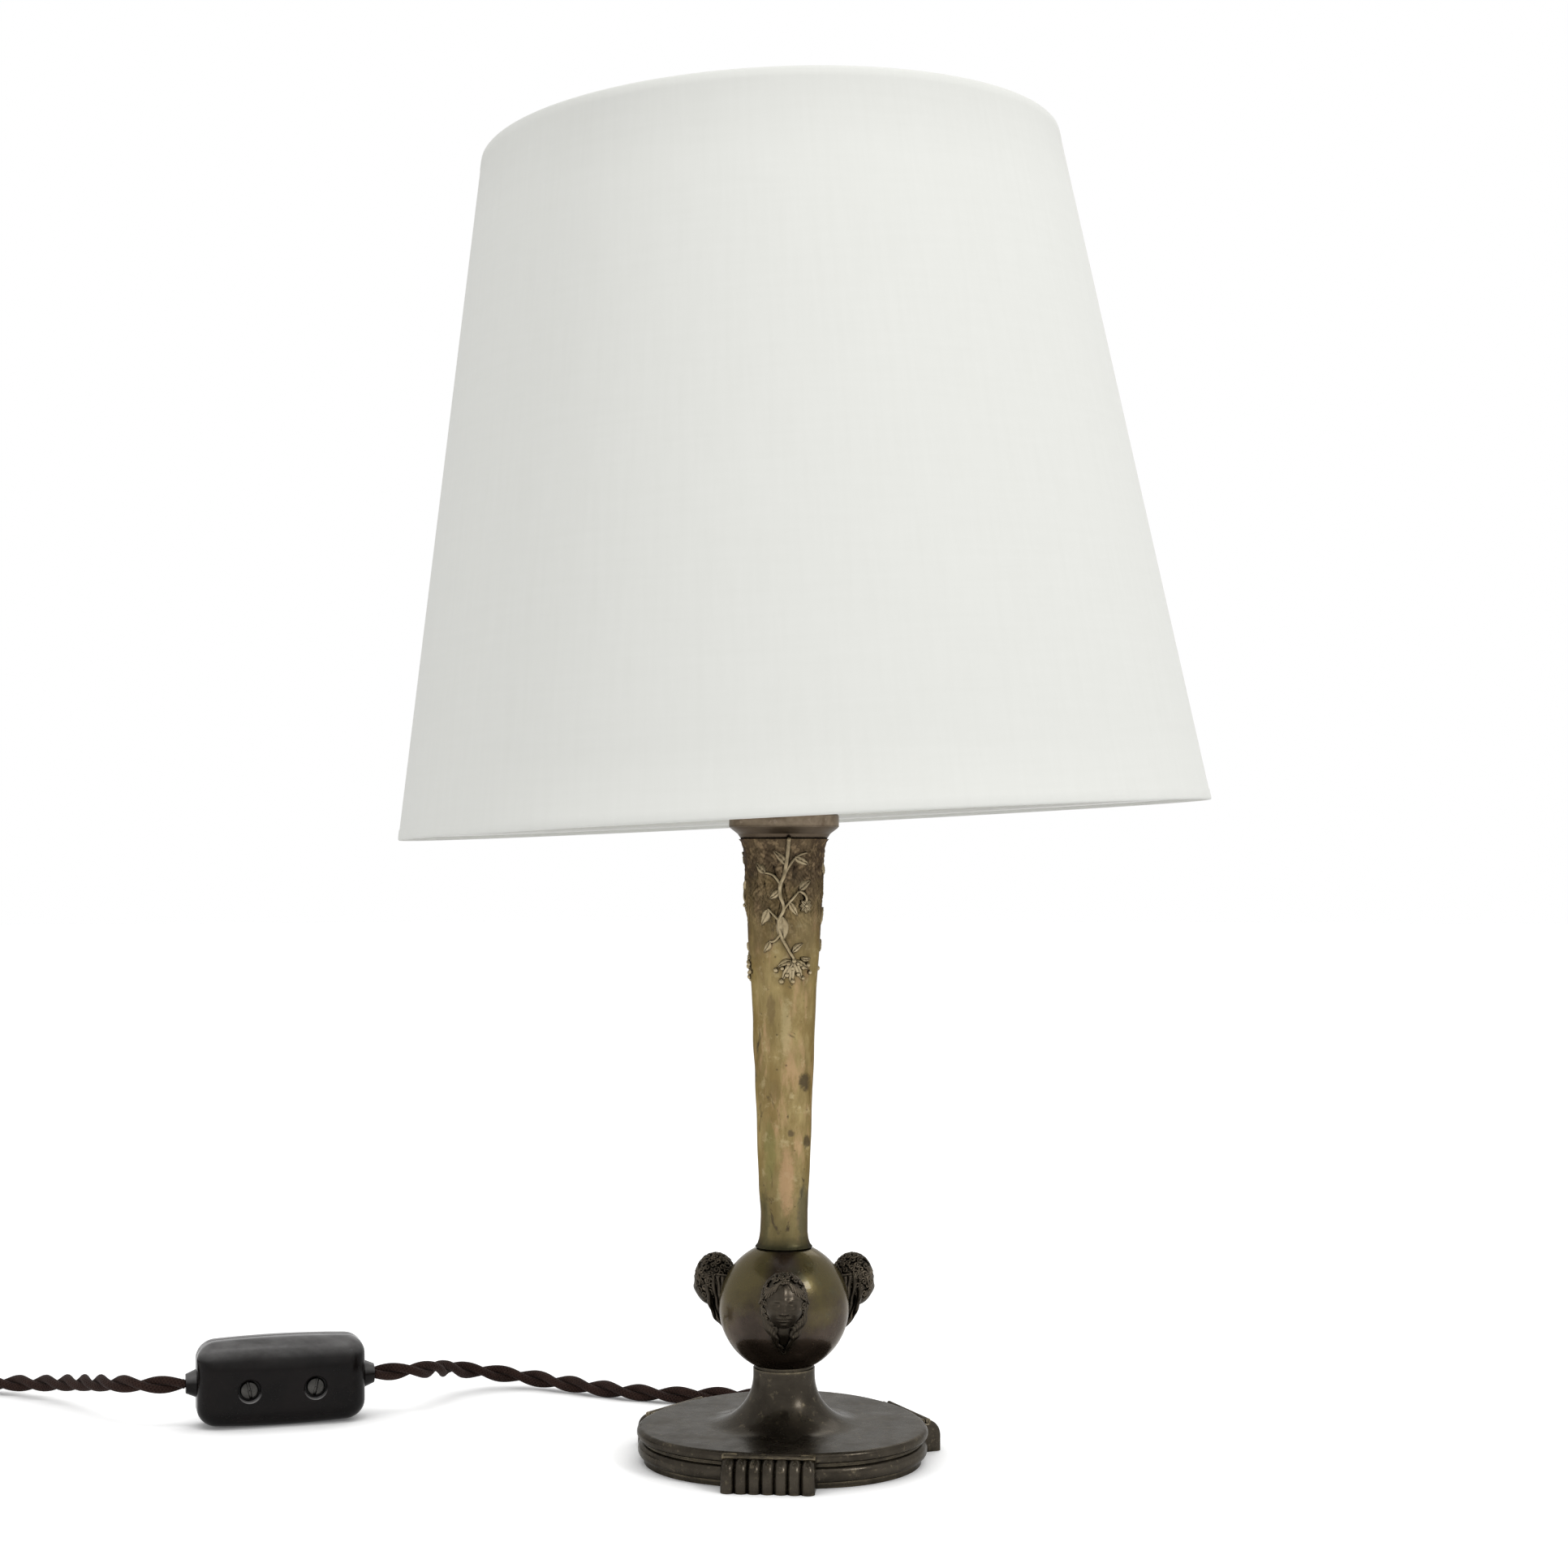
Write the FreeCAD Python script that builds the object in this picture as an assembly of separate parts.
import FreeCAD, Part
import math
import os

# Table lamp: lobed base on bracket feet, ball with mask heads, tapered column, clip-on shade, flex.
# Millimetres. The origin is where the lamp's axis meets the table, +Z up, -Y towards the viewer.

V = FreeCAD.Vector
UP = V(0, 0, 1)
AXIS_X = V(1, 0, 0)
AXIS_Y = V(0, 1, 0)

# Gaps and overruns
cut_overrun = 1.0
pin_gap = 0.05
side_gap = 0.3

# Shares and counts of general use
arc_trim_share = 0.45
hex_sides = 6
mid_quarter = math.cos(math.pi / 4)

# Base plate: lobes between flatter foot sides
lobe_count = 3
front_foot_deg = 264.0
lobe_radius = 38.5
lobe_offset = 10.0
foot_side_offset = 17.0
plate_bottom = 0.0
skirt_height = 1.75
skirt_inset = 2.2
band_height = 5.2
band_inset = 0.3
band_round = 2.3
groove_height = 0.9
groove_inset = 1.5
lip_height = 3.4
lip_round = 1.5
plate_wall = 4.2
plate_skin = 2.6

# Neck rising from the plate in a hollow curve
neck_radius = 10.05
neck_sweep = 15.4
neck_straight = 2.4
nut_recess_radius = 10.5
nut_recess_rise = 6.4

# Bracket feet with upright ribs
foot_width = 29.0
foot_reach = 50.6
foot_rib_count = 7
foot_rib_lap = 0.15
foot_bend = 3.0
foot_height = 10.2
foot_seat_radius = 41.8
foot_bead_radius = 0.8
foot_bead_spacing = 2.0
tongue_width = 16.0
tongue_low = 1.6
tongue_thickness = 3.6
tongue_inner_radius = 28.0
foot_screw_radius = 1.5
foot_screw_head_radius = 2.75
foot_screw_head_height = 1.4
foot_screw_inset = 17.6
foot_screw_place = foot_reach - foot_screw_inset
foot_screw_bite = 3.6
foot_boss_radius = 4.0

# Hollow threaded rod, nuts and inner flex
rod_radius = 5.0
rod_bore_radius = 3.6
rod_clearance = 0.1
rod_tail = 0.6
nut_flats = 14.0
nut_height = 3.0
base_washer_radius = 9.6
base_washer_height = 1.0
flex_radius = 3.0
inner_bend_radius = 8.0

# Cord bush in the back lobe
exit_deg = 92.0
exit_height = 4.4
bush_inner_place = 32.0
bush_outer_place = 52.0
bush_body_radius = 4.1
bush_neck_radius = 3.8
bush_tip_radius = 3.4
bush_collar_radius = 4.2
bush_collar = 1.2

# Ball between neck and column
neck_ring_height = 1.0
neck_ring_inset = 0.5
ball_radius = 21.2
ball_centre_height = 48.8
ball_crown = 19.6

# Mask heads standing out of the ball
head_count = 3
front_head_deg = 270.0
head_reach = 27.4
head_lift = 5.6
head_depth = 5.4
head_half_width = 6.4
head_half_height = 8.0
hair_growth = 0.8
hair_setback = 1.3
head_neck_top_radius = 3.4
head_neck_foot_radius = 6.6
head_neck_drop = 12.0
head_neck_setback = 11.0

# Column
column_foot_radius = 8.1
column_waist_radius = 9.7
column_waist_drop = 76.0
column_upper_radius = 10.8
column_upper_drop = 51.0
column_leaf_drop = 24.5
column_leaf_radius = 12.4
leaf_band_radius = 13.0
column_head_radius = 14.0
column_head_height = 201.0

# Rim dish on the column
rim_radius = 17.9
rim_cove_height = 3.4
rim_cove_spread = 1.1
rim_lip_height = 4.8
rim_lip_round = 0.6
dish_radius = 15.6
dish_floor_radius = 13.4
dish_depth = 2.4

# Lampholder on a short riser
riser_radius = 7.0
riser_height = 17.6
holder_cap_foot_radius = 9.5
holder_cap_radius = 18.6
holder_cap_height = 16.0
holder_cap_wall = 1.0
holder_shell_radius = 19.6
holder_shell_height = 45.0
holder_shell_lap = 5.0
holder_bead_radius = 0.7
insert_radius = 18.3
insert_floor = 11.0
insert_bore_radius = 15.2
insert_height = 36.0
thread_shell_radius = 15.0
thread_shell_wall = 0.9
thread_shell_foot = 2.0
contact_width = 6.0
contact_thickness = 0.8
contact_rise = 4.0
terminal_place = 11.0
terminal_radius = 2.0
terminal_height = 1.5

# Bulb with a screw cap
globe_radius = 30.0
globe_rise = 49.0
globe_wall = 0.9
globe_turn_deg = 45.0
bulb_neck_radius = 12.4
cap_radius = 13.8
cap_wall = 0.6
cap_length = 23.5
cap_flare_radius = 14.7
cap_flare_height = 3.0
cap_foot_radius = 9.5
cap_foot_height = 3.0
button_radius = 4.6
button_height = 1.2
insulator_height = 2.0
stem_foot_radius = 11.2
stem_foot_height = 1.6
stem_taper_height = 4.8
stem_radius = 3.2
stem_height = 34.0
filament_radius = 0.5
filament_spread = 11.0
filament_rise = 12.0

# Clip: two wire loops on the globe, a yoke, a post and a nut
shade_lean_deg = -2.9
clip_wire_radius = 1.0
loop_place = 26.0
yoke_half_span = 8.0
yoke_overhang = 2.0
yoke_width = 8.0
yoke_thickness = 1.6
post_radius = 2.5
post_height = 12.0
finial_radius = 5.5
finial_height = 8.0

# Shade: measured along its own axis from the globe's centre
shade_bottom_radius = 131.0
shade_top_radius = 93.6
shade_drop = 130.6
shade_rise = 86.6
cover_thickness = 0.9
hem_height = 3.6
hem_thickness = 0.9
ring_wire_radius = 1.2
hub_radius = 11.0
hub_thickness = 2.0
arm_radius = 1.5
arm_count = 3
arm_first_deg = 90.0
arm_elbow_radius = 20.0

# Inline switch on the flex
switch_place = V(-173.9, 49.0, 0)
switch_turn_deg = 16.5
switch_length = 57.0
switch_height = 30.0
switch_thickness = 20.0
switch_round = 5.0
switch_wall = 2.0
entry_length = 3.5
entry_base_radius = 4.8
entry_tip_radius = 3.3
switch_screw_place = 11.2
switch_screw_drop = 2.0
switch_recess_radius = 3.8
switch_recess_depth = 3.0
switch_screw_head_radius = 3.1
switch_screw_head_height = 1.8
switch_screw_radius = 1.4
switch_boss_radius = 4.9
switch_far_boss_radius = 2.3
rocker_half_length = 7.2
rocker_half_height = 4.6
rocker_travel_deg = 9.0
rocker_axle_depth = 4.5
rocker_stand_out = 1.9
rocker_notch = 1.5
rocker_body_depth = 5.8
rocker_window_gap = 1.3
rocker_pin_radius = 1.0
rocker_lug_width = 6.0
rocker_lug_thickness = 2.0
switch_contact_length = 7.0
switch_contact_height = 5.0
switch_contact_thickness = 0.8
switch_contact_place = 20.0

# Flex coil put away past the shown stretch
coil_pitch = 6.5
coil_outer_radius = 42.75
coil_layer_turns = 3
coil_start = V(-344.0, 98.5, 3.0)
coil_end_straight = 6.0
coil_apart = 30.0

# Plug
relief_length = 22.0
relief_plug_radius = 5.6
plug_length = 34.0
plug_width = 35.0
plug_back_width = 20.0
plug_taper_length = 11.3
plug_thickness = 19.0
plug_round = 4.0
pin_radius = 2.0
pin_length = 19.0
pin_spacing = 19.0

# Route of the flex from the bush to the switch, chosen by hand
base_route = [
    (-1.81, 51.97, 4.4),
    (-1.97, 56.4, 4.35),
    (-3.9, 64.0, 4.1),
    (-8.5, 70.4, 3.7),
    (-15.2, 74.6, 3.4),
    (-24.1, 76.2, 3.2),
    (-36.0, 77.0, 3.0),
    (-49.5, 80.1, 3.0),
    (-64.0, 87.0, 3.0),
    (-79.0, 95.4, 3.3),
    (-89.2, 101.0, 3.7),
    (-100.1, 102.9, 4.9),
    (-110.4, 99.5, 6.7),
    (-116.3, 95.1, 8.3),
    (-120.9, 88.3, 10.2),
    (-123.1, 79.1, 12.1),
    (-125.0, 71.6, 13.4),
    (-129.1, 65.3, 14.4),
    (-135.5, 60.4, 15.0),
    (-143.22, 58.09, 15.0),
]

# Route of the flex from the switch to the coil, chosen by hand
left_route = [
    (-204.58, 39.91, 15.0),
    (-211.8, 37.8, 15.0),
    (-220.2, 38.4, 15.0),
    (-228.3, 42.2, 14.6),
    (-236.8, 50.7, 13.0),
    (-246.4, 63.4, 10.4),
    (-257.2, 75.9, 7.7),
    (-270.0, 86.3, 5.3),
    (-286.0, 94.3, 3.7),
    (-304.0, 97.9, 3.0),
    (-324.0, 98.5, 3.0),
    (-344.0, 98.5, 3.0),
]

# Route of the flex from the coil to the plug, chosen by hand
tail_route = [
    (-356.0, 98.5, 9.5),
    (-363.5, 98.5, 9.5),
    (-373.5, 96.6, 9.5),
    (-383.0, 92.6, 9.5),
]

# Places worked out from the sizes above
band_bottom = plate_bottom + skirt_height
groove_bottom = band_bottom + band_height
lip_bottom = groove_bottom + groove_height
plate_top = lip_bottom + lip_height
pocket_top = plate_top - plate_skin
nut_recess_top = plate_top + nut_recess_rise
neck_top = plate_top + neck_sweep + neck_straight
foot_rib_pitch = foot_width / foot_rib_count
foot_rib_radius = foot_rib_pitch / 2 + foot_rib_lap
tongue_top = tongue_low + tongue_thickness
ball_low = neck_top + neck_ring_height
ball_top = ball_centre_height + ball_crown
head_height = ball_centre_height + head_lift
base_washer_low = nut_recess_top - base_washer_height
base_nut_low = base_washer_low - nut_height
rod_low = base_nut_low - rod_tail
column_waist_height = column_head_height - column_waist_drop
column_upper_height = column_head_height - column_upper_drop
column_leaf_height = column_head_height - column_leaf_drop
rim_low = column_head_height
rim_lip_low = rim_low + rim_cove_height
rim_top = rim_lip_low + rim_lip_height
dish_floor = rim_top - dish_depth
riser_low = dish_floor + nut_height
riser_top = riser_low + riser_height
holder_nut_low = riser_top + holder_cap_wall
rod_top = holder_nut_low + nut_height + rod_tail
holder_cap_top = riser_top + holder_cap_height
holder_shell_low = holder_cap_top - holder_shell_lap
holder_shell_inner_radius = holder_cap_radius + pin_gap
insert_low = holder_cap_top
insert_floor_top = insert_low + insert_floor
thread_shell_top = insert_low + insert_height
contact_top = insert_floor_top + contact_rise
button_low = contact_top + side_gap
insulator_low = button_low + button_height
cap_low = insulator_low + insulator_height
cap_body_low = cap_low + cap_foot_height
cap_top = cap_body_low + cap_length
stem_low = cap_top - cap_flare_height
globe_height = cap_top + globe_rise
globe_centre = V(0, 0, globe_height)
loop_reach = globe_radius + side_gap + clip_wire_radius
loop_radius = math.sqrt(loop_reach**2 - loop_place**2)
yoke_low = loop_radius + (loop_place - yoke_half_span) * loop_place / loop_radius
yoke_top = yoke_low + yoke_thickness
hub_low = yoke_top + side_gap
hub_top = hub_low + hub_thickness
finial_low = hub_top + side_gap
cover_low = hem_thickness - shade_drop
cover_high = shade_rise - hem_thickness
ring_wire_inset = cover_thickness + side_gap + ring_wire_radius
switch_centre_height = switch_height / 2
switch_half_length = switch_length / 2
switch_half_thickness = switch_thickness / 2


def direction(deg, length, height=0.0):
    """Vector of a length along a level direction, at a height."""
    turn = math.radians(deg)
    return V(length * math.cos(turn), length * math.sin(turn), height)


def turned(shape, deg, centre=V(0, 0, 0), axis=UP):
    """Copy of a shape turned about an axis through a point."""
    copy = shape.copy()
    copy.rotate(centre, axis, deg)
    return copy


def lathe(points):
    """Solid turned about the Z axis from its half section, given as radius and height pairs."""
    corners = [V(radius, 0, height) for radius, height in points]
    wire = Part.makePolygon(corners + corners[:1])
    return Part.Face(wire).revolve(V(0, 0, 0), UP, 360)


def lathe_edges(edges):
    """Solid turned about the Z axis from the edges of its half section."""
    wire = Part.Wire(Part.__sortEdges__(edges))
    return Part.Face(wire).revolve(V(0, 0, 0), UP, 360)


def line(start, end):
    """Straight edge."""
    return Part.makeLine(start, end)


def arc(start, middle, end):
    """Round edge through three points."""
    return Part.Arc(start, middle, end).toShape()


def smooth(points):
    """Smooth edge through points."""
    curve = Part.BSplineCurve()
    curve.interpolate(points)
    return curve.toShape()


def post(radius, low, high, place=V(0, 0, 0)):
    """Upright cylinder between two heights."""
    return Part.makeCylinder(radius, high - low, V(place.x, place.y, low), UP)


def tube(radius, bore, low, high):
    """Upright tube between two heights."""
    return post(radius, low, high).cut(post(bore, low - cut_overrun, high + cut_overrun))


def block(low, high):
    """Box between two corners."""
    size = high - low
    return Part.makeBox(size.x, size.y, size.z, low)


def hex_nut(flats, bore, low, height):
    """Hexagon nut on the axis."""
    corner = flats / math.sqrt(3)
    corners = [direction(360 / hex_sides * k, corner, low) for k in range(hex_sides + 1)]
    body = Part.Face(Part.makePolygon(corners)).extrude(V(0, 0, height))
    return body.cut(post(bore, low - cut_overrun, low + height + cut_overrun))


def ellipsoid(centre, half_x, half_y, half_z):
    """Ball stretched to three half sizes about its centre."""
    stretch = FreeCAD.Matrix()
    stretch.scale(half_x, half_y, half_z)
    shape = Part.makeSphere(1).transformGeometry(stretch)
    shape.translate(centre)
    return shape


def route_edges(points):
    """Straight runs joined by tangent arcs, each as large as its runs allow, and their least radius."""
    corners = [V(point) for point in points]
    edges = []
    radii = []
    start = corners[0]
    for before, corner, after in zip(corners, corners[1:], corners[2:]):
        into = corner - before
        out = after - corner
        half_turn = into.getAngle(out) / 2
        trim = arc_trim_share * min(into.Length, out.Length)
        radii.append(trim / math.tan(half_turn))
        into.normalize()
        out.normalize()
        enter = corner - into * trim
        leave = corner + out * trim
        inward = out - into
        inward.normalize()
        depth = radii[-1] * (1 / math.cos(half_turn) - 1)
        edges.append(line(start, enter))
        edges.append(arc(enter, corner + inward * depth, leave))
        start = leave
    edges.append(line(start, corners[-1]))
    return edges, min(radii)


def round_sweep(edges, radius):
    """Round bar swept along joined edges, starting square to the first."""
    first = edges[0]
    start = first.valueAt(first.FirstParameter)
    heading = first.tangentAt(first.FirstParameter)
    ring = Part.Wire(Part.makeCircle(radius, start, heading))
    return Part.Wire(edges).makePipeShell([ring], True, False)


def flex_stretch(name, points):
    """Flex along a route; prints its least radius and its volume against section times length."""
    edges, least = route_edges(points)
    shape = round_sweep(edges, flex_radius)
    length = sum(edge.Length for edge in edges)
    share = shape.Volume / (math.pi * flex_radius**2 * length)
    print(name, "length", round(length, 1), "least radius", round(least, 1), "share", round(share, 4))
    return shape


def plate_outline(inset, height):
    """Closed outline: a wide arc at each foot side and a tighter arc round each lobe, all tangent."""
    lobe_step = 180 / lobe_count
    mix = 2 * lobe_offset * foot_side_offset * math.cos(math.radians(lobe_step))
    centre_gap = math.sqrt(lobe_offset**2 + foot_side_offset**2 + mix)
    edges = []
    for k in range(lobe_count):
        foot_deg = front_foot_deg + 2 * lobe_step * k
        side_centre = direction(foot_deg, -foot_side_offset, height)
        before = direction(foot_deg - lobe_step, lobe_offset, height)
        after = direction(foot_deg + lobe_step, lobe_offset, height)
        next_side = direction(foot_deg + 2 * lobe_step, -foot_side_offset, height)
        radius = lobe_radius - inset
        start = before + (before - side_centre) * (radius / centre_gap)
        end = after + (after - side_centre) * (radius / centre_gap)
        tip = side_centre + direction(foot_deg, radius + centre_gap)
        lobe_tip = after + direction(foot_deg + lobe_step, radius)
        lobe_end = after + (after - next_side) * (radius / centre_gap)
        edges.append(arc(start, tip, end))
        edges.append(arc(end, lobe_tip, lobe_end))
    return Part.Wire(Part.__sortEdges__(edges))


def plate_layer(inset, low, high):
    """Slab of the plate's outline between two heights."""
    return Part.Face(plate_outline(inset, low)).extrude(V(0, 0, high - low))


def rounded_rims(slab, radius, heights):
    """Slab with its outer edges at the given heights rounded."""
    rims = []
    for edge in slab.Edges:
        low = edge.BoundBox.ZMin
        high = edge.BoundBox.ZMax
        if any(max(abs(low - height), abs(high - height)) < pin_gap for height in heights):
            rims.append(edge)
    return slab.makeFillet(radius, rims)


def foot_place(k):
    """Direction of one foot."""
    return front_foot_deg + 360 / lobe_count * k


def make_plate():
    """Plate with its lip, groove, round band and undercut skirt, open underneath."""
    skirt = plate_layer(skirt_inset, plate_bottom, band_bottom + band_round)
    band = plate_layer(band_inset, band_bottom, groove_bottom)
    band = rounded_rims(band, band_round, [band_bottom, groove_bottom])
    groove = plate_layer(groove_inset + band_inset, groove_bottom - band_round, lip_bottom + lip_round)
    lip = rounded_rims(plate_layer(0, lip_bottom, plate_top), lip_round, [lip_bottom, plate_top])
    pocket = plate_layer(plate_wall, plate_bottom - cut_overrun, pocket_top)
    return skirt.fuse([band, groove, lip]).cut(pocket)


def make_neck():
    """Neck sweeping up from the plate in a quarter round hollow."""
    foot = neck_radius + neck_sweep
    diagonal = neck_sweep * mid_quarter
    low = V(foot, 0, pocket_top)
    edge = V(foot, 0, plate_top)
    middle = V(foot - diagonal, 0, plate_top + neck_sweep - diagonal)
    start = V(neck_radius, 0, plate_top + neck_sweep)
    top = V(neck_radius, 0, neck_top)
    edges = [
        line(V(0, 0, pocket_top), low),
        line(low, edge),
        arc(edge, middle, start),
        line(start, top),
        line(top, V(0, 0, neck_top)),
        line(V(0, 0, neck_top), V(0, 0, pocket_top)),
    ]
    return lathe_edges(edges)


def bush_cutter():
    """Round hole for the bush's neck, open to the plate's lower edge."""
    start = direction(exit_deg, bush_inner_place, exit_height)
    reach = bush_outer_place - bush_inner_place
    hole = Part.makeCylinder(bush_neck_radius, reach, start, direction(exit_deg, 1))
    low = V(bush_inner_place, -bush_neck_radius, -cut_overrun)
    slot = block(low, V(bush_outer_place, bush_neck_radius, exit_height))
    return hole.fuse(turned(slot, exit_deg))


def make_base_casting():
    """Plate and neck in one, with bosses, windows for the feet's tongues and holes."""
    body = make_plate().fuse(make_neck())
    half = tongue_width / 2 + pin_gap
    for k in range(lobe_count):
        place = direction(foot_place(k), foot_screw_place)
        body = body.fuse(post(foot_boss_radius, tongue_top, plate_top - lip_round, place))
        low = V(tongue_inner_radius, -half, tongue_low - pin_gap)
        window = block(low, V(foot_reach, half, tongue_top + pin_gap))
        body = body.cut(turned(window, foot_place(k)))
        body = body.cut(post(foot_screw_radius + pin_gap, tongue_low, tongue_top + foot_screw_bite, place))
    body = body.cut(post(nut_recess_radius, plate_bottom, nut_recess_top))
    body = body.cut(post(rod_radius + rod_clearance, plate_bottom, neck_top + cut_overrun))
    return body.cut(bush_cutter()).removeSplitter()


def foot_rib(across, radius):
    """One upright rib that bends over at its top towards the plate."""
    line_place = foot_reach - radius
    knee = foot_height - radius - foot_bend
    start = V(line_place, across, 0)
    bend_start = V(line_place, across, knee)
    fall = foot_bend * (1 - mid_quarter)
    middle = V(line_place - fall, across, knee + foot_bend - fall)
    end = V(line_place - foot_bend, across, knee + foot_bend)
    tail = V(foot_seat_radius, across, knee + foot_bend)
    return round_sweep([line(start, bend_start), arc(bend_start, middle, end), line(end, tail)], radius)


def foot_core():
    """Block behind the ribs, with the same bend, and the tongue that goes under the plate."""
    half = foot_width / 2
    line_place = foot_reach - foot_rib_radius
    knee = foot_height - foot_rib_radius - foot_bend
    fall = foot_bend * (1 - mid_quarter)
    corners = [
        V(foot_seat_radius, -half, 0),
        V(line_place, -half, 0),
        V(line_place, -half, knee),
        V(line_place - foot_bend, -half, knee + foot_bend),
        V(foot_seat_radius, -half, knee + foot_bend),
    ]
    middle = V(line_place - fall, -half, knee + foot_bend - fall)
    edges = [
        line(corners[0], corners[1]),
        line(corners[1], corners[2]),
        arc(corners[2], middle, corners[3]),
        line(corners[3], corners[4]),
        line(corners[4], corners[0]),
    ]
    core = Part.Face(Part.Wire(edges)).extrude(V(0, foot_width, 0))
    half_tongue = tongue_width / 2
    tongue = block(V(tongue_inner_radius, -half_tongue, tongue_low), V(line_place, half_tongue, tongue_top))
    return core.fuse(tongue)


def foot_bead(place):
    """Thin rounded bar across the top of the foot."""
    start = V(place, -foot_width / 2, foot_height)
    return Part.makeCylinder(foot_bead_radius, foot_width, start, AXIS_Y)


def make_foot(k, casting):
    """One bracket foot: seven ribs, two beads, core and tongue, fitted to the plate."""
    body = foot_core()
    for rib in range(foot_rib_count):
        across = (rib + 1 / 2) * foot_rib_pitch - foot_width / 2
        body = body.fuse(foot_rib(across, foot_rib_radius))
    first = foot_reach - foot_rib_radius - foot_bend
    body = body.fuse([foot_bead(first), foot_bead(first - foot_bead_spacing)])
    floor_cut = block(V(0, -foot_reach, -foot_reach), V(2 * foot_reach, foot_reach, 0))
    body = turned(body.cut(floor_cut), foot_place(k)).cut(casting)
    place = direction(foot_place(k), foot_screw_place)
    hole = post(foot_screw_radius + pin_gap, 0, tongue_top + cut_overrun, place)
    head = post(foot_screw_head_radius + pin_gap, 0, tongue_low + foot_screw_head_height, place)
    return biggest(body.cut(hole.fuse(head)))


def biggest(shape):
    """The largest solid of a cut shape."""
    return max(shape.Solids, key=lambda solid: solid.Volume)


def make_foot_screws():
    """Screws that hold the tongues to the plate's bosses from below."""
    screws = []
    for k in range(lobe_count):
        place = direction(foot_place(k), foot_screw_place)
        head = post(foot_screw_head_radius, tongue_low, tongue_low + foot_screw_head_height, place)
        shank = post(foot_screw_radius, tongue_low, tongue_top + foot_screw_bite - pin_gap, place)
        screws.append(head.fuse(shank))
    return Part.makeCompound(screws)


def make_cord_bush():
    """Tapered bush: inner body, waist in the plate's wall, outer collar and tip."""
    wall_out = lobe_offset + lobe_radius
    wall_in = wall_out - plate_wall - 2 * side_gap
    points = [
        (0, bush_inner_place),
        (bush_tip_radius, bush_inner_place),
        (bush_body_radius, wall_in - bush_collar),
        (bush_body_radius, wall_in),
        (bush_neck_radius - pin_gap, wall_in),
        (bush_neck_radius - pin_gap, wall_out),
        (bush_collar_radius, wall_out),
        (bush_collar_radius, wall_out + bush_collar),
        (bush_tip_radius, bush_outer_place),
        (0, bush_outer_place),
    ]
    laid = turned(lathe(points), 90, axis=AXIS_Y)
    laid.translate(V(0, 0, exit_height))
    return turned(laid, exit_deg)


def make_inner_flex():
    """Flex from the bush to the axis, round one bend and up inside the rod."""
    start = direction(exit_deg, bush_inner_place, exit_height)
    bend_start = direction(exit_deg, inner_bend_radius, exit_height)
    fall = inner_bend_radius * (1 - mid_quarter)
    middle = direction(exit_deg, fall, exit_height + fall)
    bend_end = V(0, 0, exit_height + inner_bend_radius)
    top = V(0, 0, rod_top + flex_radius)
    edges = [line(start, bend_start), arc(bend_start, middle, bend_end), line(bend_end, top)]
    return round_sweep(edges, flex_radius)


def make_ball():
    """Ball with flats for the neck ring and the column, bored for the rod."""
    low = ball_low - ball_centre_height
    low_radius = math.sqrt(ball_radius**2 - low**2)
    top_radius = math.sqrt(ball_radius**2 - ball_crown**2)
    bore = rod_radius + rod_clearance
    corners = [
        V(bore, 0, ball_low),
        V(low_radius, 0, ball_low),
        V(top_radius, 0, ball_top),
        V(bore, 0, ball_top),
    ]
    edges = [
        line(corners[0], corners[1]),
        arc(corners[1], V(ball_radius, 0, ball_centre_height), corners[2]),
        line(corners[2], corners[3]),
        line(corners[3], corners[0]),
    ]
    return lathe_edges(edges)


def make_head(deg):
    """Small head with a cap of hair on a neck that spreads down into the ball."""
    face = ellipsoid(V(head_reach, 0, head_height), head_depth, head_half_width, head_half_height)
    hair_centre = V(head_reach - hair_setback, 0, head_height + hair_setback)
    hair = ellipsoid(hair_centre, head_depth + hair_growth, head_half_width + hair_growth, head_half_height)
    top = V(head_reach - hair_setback, 0, head_height)
    fall = V(-head_neck_setback, 0, -head_neck_drop)
    neck = Part.makeCone(head_neck_top_radius, head_neck_foot_radius, fall.Length, top, fall)
    ball = Part.makeSphere(ball_radius, V(0, 0, ball_centre_height))
    return turned(biggest(face.fuse([hair, neck]).cut(ball)), deg)


def make_column():
    """Tapering column with a thicker leaf band under its head."""
    bore = rod_radius + rod_clearance
    foot = V(column_foot_radius, 0, ball_top)
    waist = V(column_waist_radius, 0, column_waist_height)
    upper = V(column_upper_radius, 0, column_upper_height)
    leaf = V(column_leaf_radius, 0, column_leaf_height)
    band = V(leaf_band_radius, 0, column_leaf_height)
    head = V(column_head_radius, 0, column_head_height)
    edges = [
        line(V(bore, 0, ball_top), foot),
        smooth([foot, waist, upper, leaf]),
        line(leaf, band),
        line(band, head),
        line(head, V(bore, 0, column_head_height)),
        line(V(bore, 0, column_head_height), V(bore, 0, ball_top)),
    ]
    return lathe_edges(edges)


def make_rim_dish():
    """Flared rim with a rounded lip and a shallow dish on top."""
    bore = rod_radius + rod_clearance
    points = [
        (bore, rim_low),
        (column_head_radius, rim_low),
        (column_head_radius + rim_cove_spread, rim_low + rim_cove_height / 2),
        (rim_radius - rim_lip_round, rim_lip_low),
        (rim_radius, rim_lip_low + rim_lip_round),
        (rim_radius, rim_top - rim_lip_round),
        (rim_radius - rim_lip_round, rim_top),
        (dish_radius, rim_top),
        (dish_floor_radius, dish_floor),
        (bore, dish_floor),
    ]
    return lathe(points)


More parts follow.
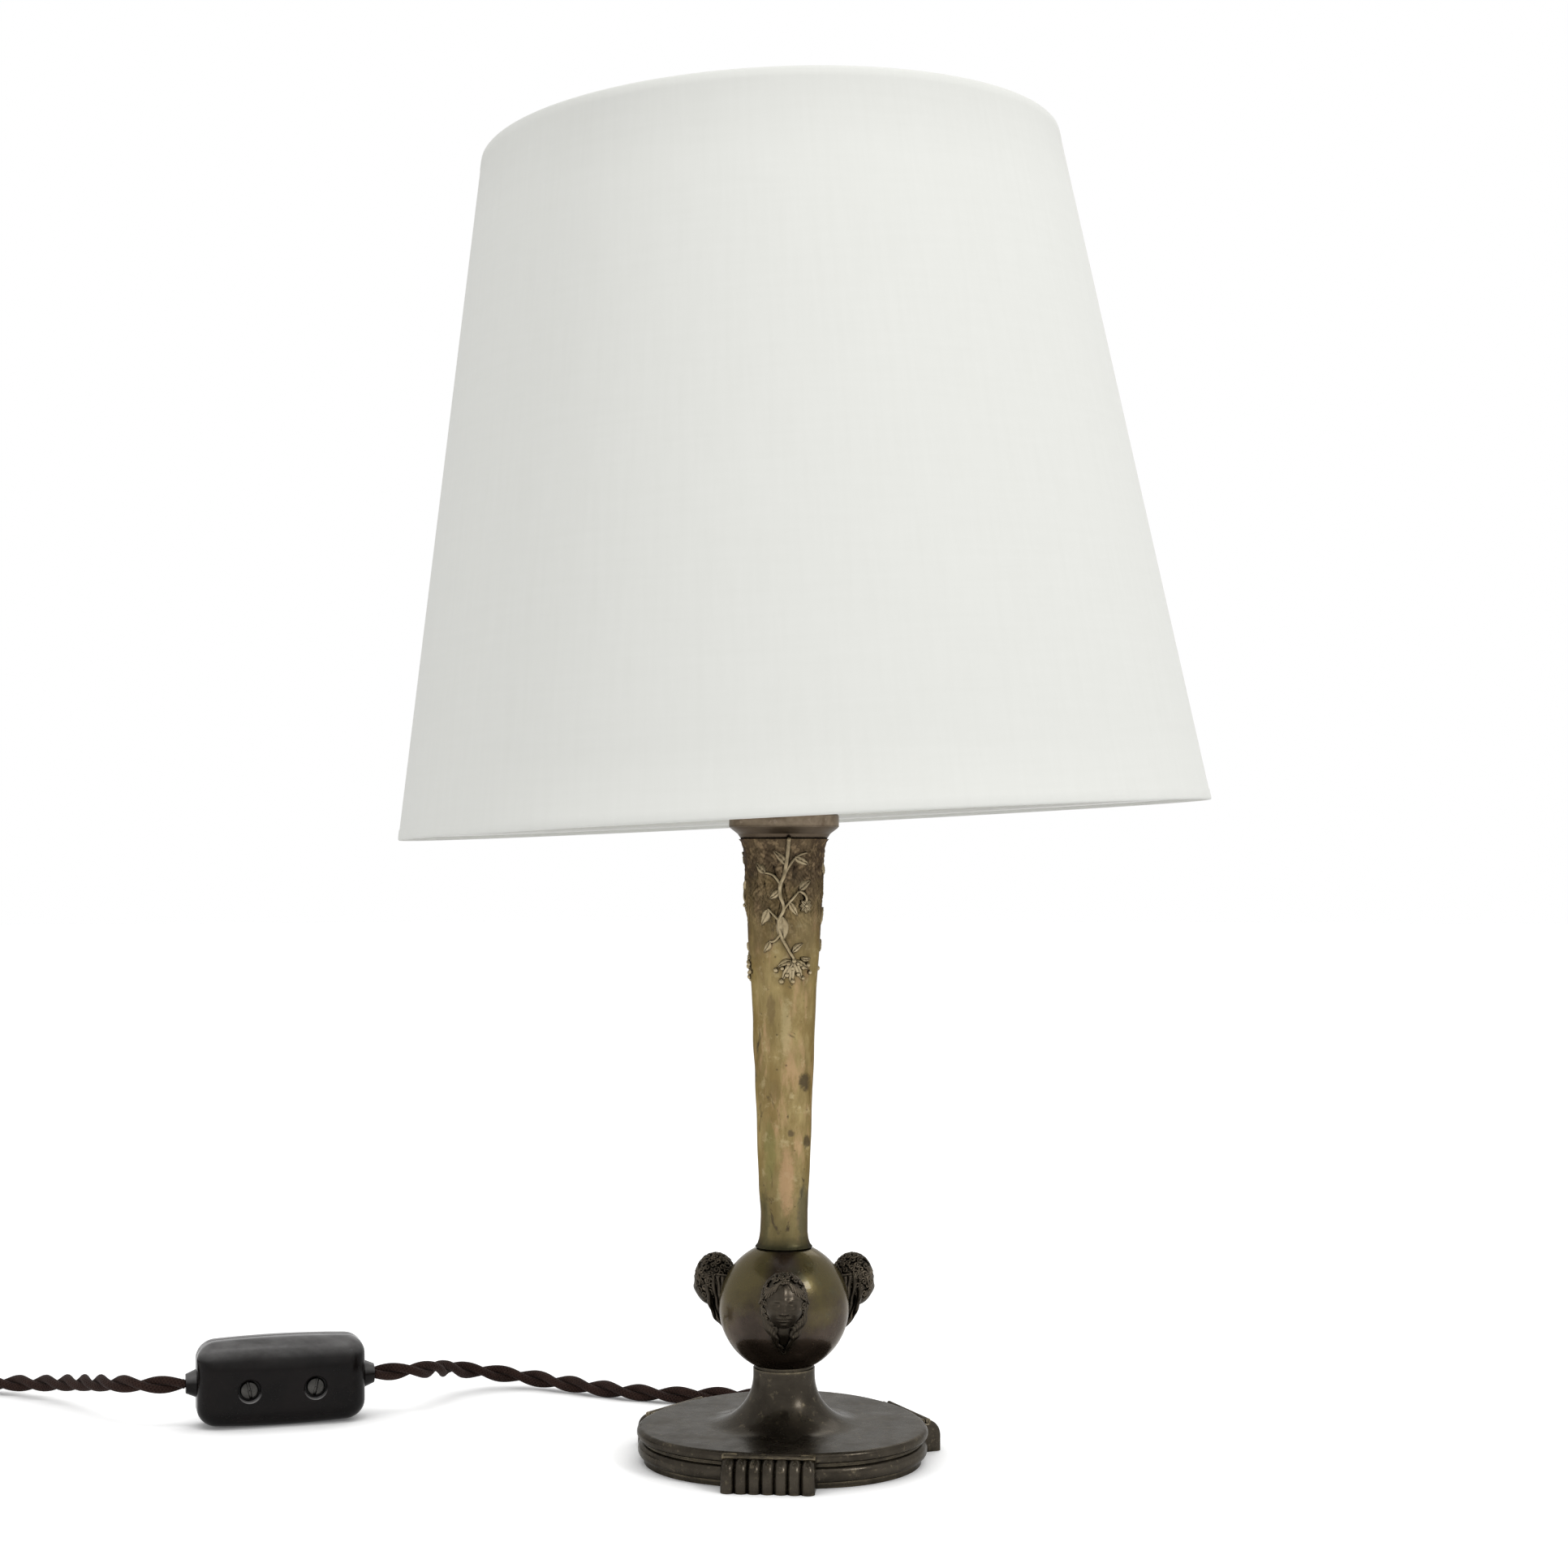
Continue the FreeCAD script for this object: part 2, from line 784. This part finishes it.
def make_holder_cap():
    """Domed lower half of the lampholder, a thin shell."""
    bore = rod_radius + rod_clearance
    shoulder = riser_top + holder_cap_height / 2
    points = [
        (bore, riser_top),
        (holder_cap_foot_radius, riser_top),
        (holder_cap_radius - holder_cap_wall, shoulder),
        (holder_cap_radius, shoulder + holder_cap_wall),
        (holder_cap_radius, holder_cap_top),
        (holder_cap_radius - holder_cap_wall, holder_cap_top),
        (holder_cap_radius - holder_cap_wall, shoulder + holder_cap_wall),
        (holder_cap_foot_radius, riser_top + holder_cap_wall),
        (bore, riser_top + holder_cap_wall),
    ]
    return lathe(points)


def make_holder_shell():
    """Straight shell of the lampholder with a rolled bead at its mouth."""
    top = holder_shell_low + holder_shell_height
    shell = tube(holder_shell_radius, holder_shell_inner_radius, holder_shell_low, top)
    middle = (holder_shell_radius + holder_shell_inner_radius) / 2
    bead = Part.makeTorus(middle, holder_bead_radius, V(0, 0, top), UP)
    return shell.fuse(bead)


def make_holder_insert():
    """Ceramic insert: thick floor with two terminal holes and a round wall."""
    points = [
        (0, insert_low),
        (insert_radius, insert_low),
        (insert_radius, thread_shell_top),
        (insert_bore_radius, thread_shell_top),
        (insert_bore_radius, insert_floor_top),
        (0, insert_floor_top),
    ]
    body = lathe(points)
    for side in (0, 180):
        hole = direction(side, terminal_place)
        body = body.cut(post(terminal_radius + pin_gap, insert_low, insert_low + terminal_height, hole))
    return body


def make_thread_shell():
    """Screw shell of the lampholder, standing on the insert's floor with a turned-in foot."""
    inner = thread_shell_radius - thread_shell_wall
    points = [
        (inner - thread_shell_foot, insert_floor_top),
        (thread_shell_radius, insert_floor_top),
        (thread_shell_radius, thread_shell_top),
        (inner, thread_shell_top),
        (inner, insert_floor_top + thread_shell_wall),
        (inner - thread_shell_foot, insert_floor_top + thread_shell_wall),
    ]
    return lathe(points)


def make_centre_contact():
    """Sprung strip on the insert's floor that bends up under the bulb's button."""
    half = contact_width / 2
    reach = button_radius
    points = [
        V(-2 * reach, -half, insert_floor_top),
        V(reach, -half, insert_floor_top),
        V(reach, -half, insert_floor_top + contact_thickness),
        V(-reach, -half, insert_floor_top + contact_thickness),
        V(-reach / 2, -half, contact_top - contact_thickness),
        V(reach, -half, contact_top - contact_thickness),
        V(reach, -half, contact_top),
        V(-reach, -half, contact_top),
        V(-2 * reach, -half, insert_floor_top + contact_thickness),
    ]
    face = Part.Face(Part.makePolygon(points + points[:1]))
    return face.extrude(V(0, contact_width, 0))


def make_terminal_screws():
    """Two terminal screws in the insert's underside."""
    screws = []
    top = insert_low + terminal_height - pin_gap
    for side in (0, 180):
        screws.append(post(terminal_radius, insert_low, top, direction(side, terminal_place)))
    return Part.makeCompound(screws)


def make_bulb_insulator():
    """Black glass ring between the button and the screw cap."""
    points = [
        (0, insulator_low),
        (button_radius, insulator_low),
        (cap_foot_radius, cap_low),
        (0, cap_low),
    ]
    return lathe(points)


def make_bulb_cap():
    """Thin metal screw cap with a closed foot and a flared collar."""
    inner = cap_radius - cap_wall
    points = [
        (0, cap_low),
        (cap_foot_radius, cap_low),
        (cap_radius, cap_body_low),
        (cap_radius, cap_top - cap_flare_height),
        (cap_flare_radius, cap_top),
        (cap_flare_radius - cap_wall, cap_top),
        (inner, cap_top - cap_flare_height),
        (inner, cap_body_low),
        (cap_foot_radius, cap_low + cap_wall),
        (0, cap_low + cap_wall),
    ]
    return lathe(points)


def globe_section(wall):
    """Edges of the glass outline from the neck's foot to the crown, set in by a wall."""
    turn = math.radians(globe_turn_deg)
    radius = globe_radius - wall
    neck = bulb_neck_radius - wall
    join = V(radius * math.cos(turn), 0, globe_height - radius * math.sin(turn))
    hollow = (globe_radius * math.cos(turn) - bulb_neck_radius) / (1 - math.cos(turn)) + wall
    centre = V(neck + hollow, 0, join.z - hollow * math.sin(turn))
    mid_turn = turn / 2
    middle = centre + V(-hollow * math.cos(mid_turn), 0, hollow * math.sin(mid_turn))
    crown_mid = V(radius * math.cos(mid_turn), 0, globe_height + radius * math.sin(mid_turn))
    crown = V(0, 0, globe_height + radius)
    foot = V(neck, 0, stem_low)
    neck_end = V(neck, 0, centre.z)
    return [line(foot, neck_end), arc(neck_end, middle, join), arc(join, crown_mid, crown)]


def make_bulb_glass():
    """Pear-shaped glass of one wall, open at its neck."""
    outer = globe_section(0)
    inner = globe_section(globe_wall)
    crown = line(V(0, 0, globe_height + globe_radius), V(0, 0, globe_height + globe_radius - globe_wall))
    foot = line(V(bulb_neck_radius, 0, stem_low), V(bulb_neck_radius - globe_wall, 0, stem_low))
    return lathe_edges(outer + inner + [crown, foot])


def make_bulb_stem():
    """Glass mount that stands in the neck and carries the filament."""
    points = [
        (0, stem_low),
        (stem_foot_radius, stem_low),
        (stem_foot_radius, stem_low + stem_foot_height),
        (stem_radius, stem_low + stem_taper_height),
        (stem_radius / 2, stem_low + stem_height),
        (0, stem_low + stem_height),
    ]
    return lathe(points)


def make_filament():
    """Two lead wires and the filament bent between their tips."""
    foot = stem_radius / 2
    low = stem_low + stem_height
    high = low + filament_rise
    left = V(-filament_spread, 0, high)
    right = V(filament_spread, 0, high)
    sag = V(0, filament_spread / 2, high)
    leads = [
        round_sweep([line(V(-foot, 0, low), left)], filament_radius),
        round_sweep([line(V(foot, 0, low), right)], filament_radius),
        round_sweep([arc(left, sag, right)], filament_radius),
    ]
    return leads[0].fuse(leads[1:])


def leaned(shape):
    """Shade piece made about the globe's centre, set in its place with the shade's lean."""
    placed = turned(shape, shade_lean_deg, axis=AXIS_Y)
    placed.translate(globe_centre)
    return placed


def make_clip_yoke():
    """Flat bar over the globe that joins the two loops, pierced for the post."""
    half = yoke_half_span + yoke_overhang
    bar = block(V(-half, -yoke_width / 2, yoke_low), V(half, yoke_width / 2, yoke_top))
    return bar.cut(post(post_radius, yoke_low - cut_overrun, yoke_top + cut_overrun))


def make_clip_loop(side):
    """Wire ring pressed on one side of the globe, with an arm up to the yoke."""
    place = side * loop_place
    ring = Part.makeTorus(loop_radius, clip_wire_radius, V(place, 0, 0), AXIS_X)
    arm_line = line(V(place, 0, loop_radius), V(side * yoke_half_span, 0, yoke_low))
    arm = round_sweep([arm_line], clip_wire_radius)
    half = yoke_half_span + yoke_overhang + yoke_width
    above = block(V(-half, -yoke_width, yoke_low), V(half, yoke_width, yoke_top + yoke_width))
    return biggest(ring.fuse(arm).cut(above))


def make_clip_post():
    """Post riveted through the yoke, on which the shade's hub turns."""
    head = post(2 * post_radius, yoke_low - yoke_thickness, yoke_low)
    return head.fuse(post(post_radius, yoke_low, yoke_low + post_height))


def make_finial_nut():
    """Small round nut with a domed top that keeps the hub on the post."""
    shoulder = finial_low + finial_height / 2
    points = [
        (post_radius, finial_low),
        (finial_radius, finial_low),
        (finial_radius, shoulder),
        (finial_radius / 2, finial_low + finial_height),
        (0, finial_low + finial_height),
        (0, yoke_low + post_height),
        (post_radius, yoke_low + post_height),
    ]
    return lathe(points)


def shade_radius(height):
    """Outer radius of the cover at a height along its own axis."""
    share = (height + shade_drop) / (shade_rise + shade_drop)
    return shade_bottom_radius + (shade_top_radius - shade_bottom_radius) * share


def make_shade_cover():
    """Thin conical cover, open at both ends."""
    low = shade_radius(cover_low)
    high = shade_radius(cover_high)
    points = [
        (low, cover_low),
        (high, cover_high),
        (high - cover_thickness, cover_high),
        (low - cover_thickness, cover_low),
    ]
    return lathe(points)


def make_hem(edge, towards):
    """Rolled hem on one edge: a band outside the cover and a lip turned in over the edge."""
    lip = edge + towards * hem_thickness
    top = edge + towards * hem_height
    inner = shade_radius(edge) - ring_wire_inset - ring_wire_radius
    points = [
        (inner, edge),
        (shade_radius(edge) + hem_thickness / 2, edge),
        (shade_radius(lip) + hem_thickness, lip),
        (shade_radius(top) + hem_thickness, top - towards * hem_thickness / 2),
        (shade_radius(top), top),
        (shade_radius(lip), lip),
        (inner, lip),
    ]
    return lathe(points)


def wire_ring(edge, towards):
    """Ring of wire lying in the corner of cover and hem, as its radius and height."""
    height = edge + towards * (hem_thickness + side_gap + ring_wire_radius)
    return shade_radius(height) - ring_wire_inset, height


def make_ring_lower():
    """Wire ring that stretches the cover's lower edge."""
    radius, height = wire_ring(-shade_drop, 1)
    return Part.makeTorus(radius, ring_wire_radius, V(0, 0, height), UP)


def make_shade_spider():
    """Top ring, three bent arms and the hub, welded."""
    radius, height = wire_ring(shade_rise, -1)
    ring = Part.makeTorus(radius, ring_wire_radius, V(0, 0, height), UP)
    hub = tube(hub_radius, post_radius + pin_gap, hub_low, hub_top)
    arm_height = hub_low + arm_radius
    start = V(hub_radius - arm_radius, 0, arm_height)
    elbow = V(arm_elbow_radius, 0, arm_height)
    end = V(radius, 0, height)
    arm = round_sweep(route_edges([start, elbow, end])[0], arm_radius)
    arms = [turned(arm, arm_first_deg + 360 / arm_count * k) for k in range(arm_count)]
    bore = post(post_radius + pin_gap, hub_low - cut_overrun, hub_top + 2 * arm_radius)
    return hub.fuse(arms + [ring]).cut(bore)


def in_switch(shape):
    """Switch piece made about the switch's middle, set in its place on the table."""
    placed = turned(shape, switch_turn_deg)
    placed.translate(switch_place + V(0, 0, switch_centre_height))
    return placed


def switch_hull():
    """Whole outside of the switch, well rounded along every edge."""
    half = V(switch_half_length, switch_half_thickness, switch_centre_height)
    box = block(V(-half.x, -half.y, -half.z), half)
    return box.makeFillet(switch_round, box.Edges)


def switch_hollow(low_y, high_y):
    """Space inside one shell of the switch."""
    x = switch_half_length - switch_wall - switch_round / 2
    z = switch_centre_height - switch_wall
    return block(V(-x, low_y, -z), V(x, high_y, z))


def across_post(radius, x, low_y, high_y):
    """Cylinder through the switch's thickness at one screw."""
    return Part.makeCylinder(radius, high_y - low_y, V(x, low_y, -switch_screw_drop), AXIS_Y)


def make_switch_front():
    """Front shell with two screw bosses and their recesses."""
    half = switch_half_thickness
    low = V(-switch_length, -switch_thickness, -switch_height)
    keep = block(low, V(switch_length, 0, switch_height))
    shell = switch_hull().common(keep).cut(switch_hollow(switch_wall - half, cut_overrun))
    recess_floor = switch_recess_depth - half
    for x in (-switch_screw_place, switch_screw_place):
        shell = shell.fuse(across_post(switch_boss_radius, x, switch_wall - half, 0))
        shell = shell.cut(across_post(switch_recess_radius, x, -half - cut_overrun, recess_floor))
        hole_radius = switch_screw_radius + pin_gap
        shell = shell.cut(across_post(hole_radius, x, recess_floor - cut_overrun, cut_overrun))
    return in_switch(shell)


def make_switch_rear():
    """Rear shell with the rocker's window, two screw bosses and two lugs for the rocker's pin."""
    half = switch_half_thickness
    window_x = rocker_half_length + rocker_window_gap
    window_z = rocker_half_height + side_gap
    low = V(-switch_length, 0, -switch_height)
    keep = block(low, V(switch_length, switch_thickness, switch_height))
    shell = switch_hull().common(keep).cut(switch_hollow(-cut_overrun, half - switch_wall))
    for x in (-switch_screw_place, switch_screw_place):
        shell = shell.fuse(across_post(switch_far_boss_radius, x, 0, half - switch_wall))
        shell = shell.cut(across_post(switch_screw_radius + pin_gap, x, -cut_overrun, half / 2))
    for side in (-1, 1):
        inner = side * window_z
        outer = side * (window_z + rocker_lug_thickness)
        low = V(-rocker_lug_width / 2, half - 2 * rocker_axle_depth, min(inner, outer))
        shell = shell.fuse(block(low, V(rocker_lug_width / 2, half - switch_wall, max(inner, outer))))
    low = V(-window_x, half - switch_wall - cut_overrun, -window_z)
    shell = shell.cut(block(low, V(window_x, half + cut_overrun, window_z)))
    return in_switch(shell.cut(rocker_axle(rocker_pin_radius)))


def rocker_axle(radius):
    """Cylinder on the rocker's axis, through both lugs."""
    reach = rocker_half_height + side_gap + rocker_lug_thickness
    start = V(0, switch_half_thickness - rocker_axle_depth, -reach)
    return Part.makeCylinder(radius, 2 * reach, start, UP)


def make_switch_rocker():
    """Rocker with a shallow V face, resting on one of its two stops."""
    face = switch_half_thickness + rocker_stand_out
    back = face - rocker_body_depth
    x = rocker_half_length
    z = rocker_half_height
    points = [
        V(-x, back, -z),
        V(x, back, -z),
        V(x, face, -z),
        V(0, face - rocker_notch, -z),
        V(-x, face, -z),
    ]
    axle = V(0, switch_half_thickness - rocker_axle_depth, 0)
    body = Part.Face(Part.makePolygon(points + points[:1])).extrude(V(0, 0, 2 * z))
    eye_radius = rocker_axle_depth / 2
    eye = Part.makeCylinder(eye_radius, 2 * z, axle - V(0, 0, z), UP)
    body = body.fuse(eye).cut(rocker_axle(rocker_pin_radius + pin_gap))
    return in_switch(turned(body, -rocker_travel_deg, centre=axle))


def make_switch_screws():
    """Two screws with slotted heads in the front shell's recesses."""
    floor = switch_recess_depth - switch_half_thickness
    screws = []
    for x in (-switch_screw_place, switch_screw_place):
        head = across_post(switch_screw_head_radius, x, floor - switch_screw_head_height, floor)
        shank = across_post(switch_screw_radius, x, floor, switch_half_thickness / 2 - pin_gap)
        screws.append(in_switch(head.fuse(shank)))
    return Part.makeCompound(screws)


def make_switch_contacts():
    """Two contact strips on the front shell's inner floor."""
    floor = switch_wall - switch_half_thickness
    half_z = switch_contact_height / 2
    strips = []
    for side in (-1, 1):
        middle = side * switch_contact_place
        low = V(middle - switch_contact_length / 2, floor, -half_z)
        high = V(middle + switch_contact_length / 2, floor + switch_contact_thickness, half_z)
        strips.append(in_switch(block(low, high)))
    return Part.makeCompound(strips)


def make_switch_entry(side):
    """Short conical cord entry on one end of the switch."""
    start = V(side * switch_half_length, 0, 0)
    outward = V(side, 0, 0)
    return in_switch(Part.makeCone(entry_base_radius, entry_tip_radius, entry_length, start, outward))


def half_turn(start, heading_side, radius):
    """Level half turn, clockwise seen from above, from its start to the point across."""
    end = start + V(0, 2 * radius * heading_side, 0)
    middle = (start + end) / 2 - V(radius * heading_side, 0, 0)
    return arc(start, middle, end), end


def climbing_half_turn(start, radius, climb):
    """Half turn that rises a layer on two tangent arcs."""
    end = start + V(0, 2 * radius, climb)
    span = (end - start).Length / 2
    first_handle = start - V(span, 0, 0)
    last_handle = end - V(span, 0, 0)
    middle = (first_handle + last_handle) / 2
    edges = []
    for near, handle in ((start, first_handle), (end, last_handle)):
        chord_middle = (near + middle) / 2
        inward = handle - chord_middle
        half_angle = (handle - near).getAngle(middle - near)
        arc_rise = (middle - near).Length / 2 * math.tan(half_angle / 2)
        inward.normalize()
        through = chord_middle + inward * arc_rise
        edges.append(arc(near, through, middle) if near is start else arc(middle, through, near))
    return edges, end


def coil_edges():
    """Flex spiralling in over one layer, climbing in the reversing half turn, and out over the next."""
    step = coil_pitch / 2
    at = coil_start - V(coil_end_straight, 0, 0)
    edges = [line(coil_start, at)]
    side = 1
    radius = coil_outer_radius
    for k in range(2 * coil_layer_turns):
        edge, at = half_turn(at, side, radius)
        edges.append(edge)
        side = -side
        radius -= step
    climb, at = climbing_half_turn(at, radius, coil_pitch)
    edges += climb
    side = -side
    for k in range(2 * coil_layer_turns - 1):
        radius += step
        edge, at = half_turn(at, side, radius)
        edges.append(edge)
        side = -side
    edges.append(line(at, at - V(coil_end_straight, 0, 0)))
    return edges


def least_self_gap(edges):
    """Least gap of the coil to itself, on points more than two turns of the bar apart along it."""
    points = []
    along = 0.0
    for edge in edges:
        count = max(2, round(edge.Length / flex_radius))
        span = edge.LastParameter - edge.FirstParameter
        for k in range(count):
            point = edge.valueAt(edge.FirstParameter + span * k / count)
            points.append((along + edge.Length * k / count, point))
        along += edge.Length
    gaps = []
    for k, (place, point) in enumerate(points):
        gaps += [point.distanceToPoint(other) for far, other in points[k:] if far - place > coil_apart]
    return min(gaps) - 2 * flex_radius


def make_flex_coil():
    """The put-away flex in one tube of two layers; prints its length, volume share and least gap."""
    edges = coil_edges()
    shape = round_sweep(edges, flex_radius)
    length = sum(edge.Length for edge in edges)
    share = shape.Volume / (math.pi * flex_radius**2 * length)
    gap = least_self_gap(edges)
    print("coil length", round(length, 1), "share", round(share, 4), "least gap", round(gap, 2))
    return shape


def in_plug(shape):
    """Plug piece made along +X, set on the end of the flex in its direction."""
    before = V(*tail_route[-2])
    last = V(*tail_route[-1])
    heading = math.degrees(math.atan2(last.y - before.y, last.x - before.x))
    placed = turned(shape, heading)
    placed.translate(last)
    return placed


def make_plug_relief():
    """Tapered strain relief behind the plug."""
    foot = V(0, 0, 0)
    return in_plug(Part.makeCone(flex_radius + side_gap, relief_plug_radius, relief_length, foot, AXIS_X))


def make_plug_body():
    """Plug body, narrower towards the flex, with rounded edges."""
    back = relief_length
    front = relief_length + plug_length
    shoulder = back + plug_taper_length
    half_back = plug_back_width / 2
    half_front = plug_width / 2
    half_z = plug_thickness / 2
    points = [
        V(back, -half_back, -half_z),
        V(shoulder, -half_front, -half_z),
        V(front, -half_front, -half_z),
        V(front, half_front, -half_z),
        V(shoulder, half_front, -half_z),
        V(back, half_back, -half_z),
    ]
    body = Part.Face(Part.makePolygon(points + points[:1])).extrude(V(0, 0, plug_thickness))
    rims = [e for e in body.Edges if e.BoundBox.XMin < front - plug_round]
    return in_plug(body.makeFillet(plug_round, rims))


def make_plug_pins():
    """Two round pins."""
    front = relief_length + plug_length
    pins = []
    for side in (-1, 1):
        start = V(front, side * pin_spacing / 2, 0)
        pin = Part.makeCylinder(pin_radius, pin_length, start, AXIS_X)
        tip = [e for e in pin.Edges if e.BoundBox.XMin > front + pin_length / 2 and e.Closed]
        pins.append(in_plug(pin.makeFillet(pin_radius / 2, tip)))
    return Part.makeCompound(pins)


def lamp_nodes():
    """Every piece of the lamp under its name."""
    casting = make_base_casting()
    head_step = 360 / head_count
    bore = rod_radius + rod_clearance
    return {
        "base_casting": casting,
        "foot_front": make_foot(0, casting),
        "foot_right": make_foot(1, casting),
        "foot_left": make_foot(2, casting),
        "foot_screws": make_foot_screws(),
        "cord_bush": make_cord_bush(),
        "base_washer": tube(base_washer_radius, bore, base_washer_low, nut_recess_top),
        "base_nut": hex_nut(nut_flats, rod_radius + pin_gap, base_nut_low, nut_height),
        "threaded_rod": tube(rod_radius, rod_bore_radius, rod_low, rod_top),
        "inner_flex": make_inner_flex(),
        "neck_ring": tube(neck_radius - neck_ring_inset, bore, neck_top, ball_low),
        "ball": make_ball(),
        "head_front": make_head(front_head_deg),
        "head_right": make_head(front_head_deg + head_step),
        "head_left": make_head(front_head_deg - head_step),
        "column": make_column(),
        "rim_dish": make_rim_dish(),
        "rim_nut": hex_nut(nut_flats, rod_radius + pin_gap, dish_floor, nut_height),
        "riser": tube(riser_radius, bore, riser_low, riser_top),
        "holder_cap": make_holder_cap(),
        "holder_nut": hex_nut(nut_flats, rod_radius + pin_gap, holder_nut_low, nut_height),
        "holder_shell": make_holder_shell(),
        "holder_insert": make_holder_insert(),
        "thread_shell": make_thread_shell(),
        "centre_contact": make_centre_contact(),
        "terminal_screws": make_terminal_screws(),
        "bulb_button": post(button_radius, button_low, insulator_low),
        "bulb_insulator": make_bulb_insulator(),
        "bulb_cap": make_bulb_cap(),
        "bulb_glass": make_bulb_glass(),
        "bulb_stem": make_bulb_stem(),
        "bulb_filament": make_filament(),
        "clip_yoke": leaned(make_clip_yoke()),
        "clip_loop_right": leaned(make_clip_loop(1)),
        "clip_loop_left": leaned(make_clip_loop(-1)),
        "clip_post": leaned(make_clip_post()),
        "finial_nut": leaned(make_finial_nut()),
        "shade_spider": leaned(make_shade_spider()),
        "shade_cover": leaned(make_shade_cover()),
        "hem_upper": leaned(make_hem(shade_rise, -1)),
        "hem_lower": leaned(make_hem(-shade_drop, 1)),
        "ring_lower": leaned(make_ring_lower()),
        "switch_front": make_switch_front(),
        "switch_rear": make_switch_rear(),
        "switch_rocker": make_switch_rocker(),
        "rocker_pin": in_switch(rocker_axle(rocker_pin_radius)),
        "switch_screws": make_switch_screws(),
        "switch_contacts": make_switch_contacts(),
        "switch_entry_right": make_switch_entry(1),
        "switch_entry_left": make_switch_entry(-1),
        "flex_base_to_switch": flex_stretch("flex_base_to_switch", base_route),
        "flex_switch_to_coil": flex_stretch("flex_switch_to_coil", left_route),
        "flex_coil": make_flex_coil(),
        "flex_coil_to_plug": flex_stretch("flex_coil_to_plug", tail_route),
        "plug_relief": make_plug_relief(),
        "plug_body": make_plug_body(),
        "plug_pins": make_plug_pins(),
    }


def main():
    os.makedirs("parts", exist_ok=True)
    for name, shape in lamp_nodes().items():
        shape.exportStep("parts/" + name + ".step")
        box = shape.BoundBox
        heights = (round(box.ZMin, 2), round(box.ZMax, 2))
        print(name, len(shape.Solids), shape.isValid(), round(shape.Volume, 1), heights)


main()
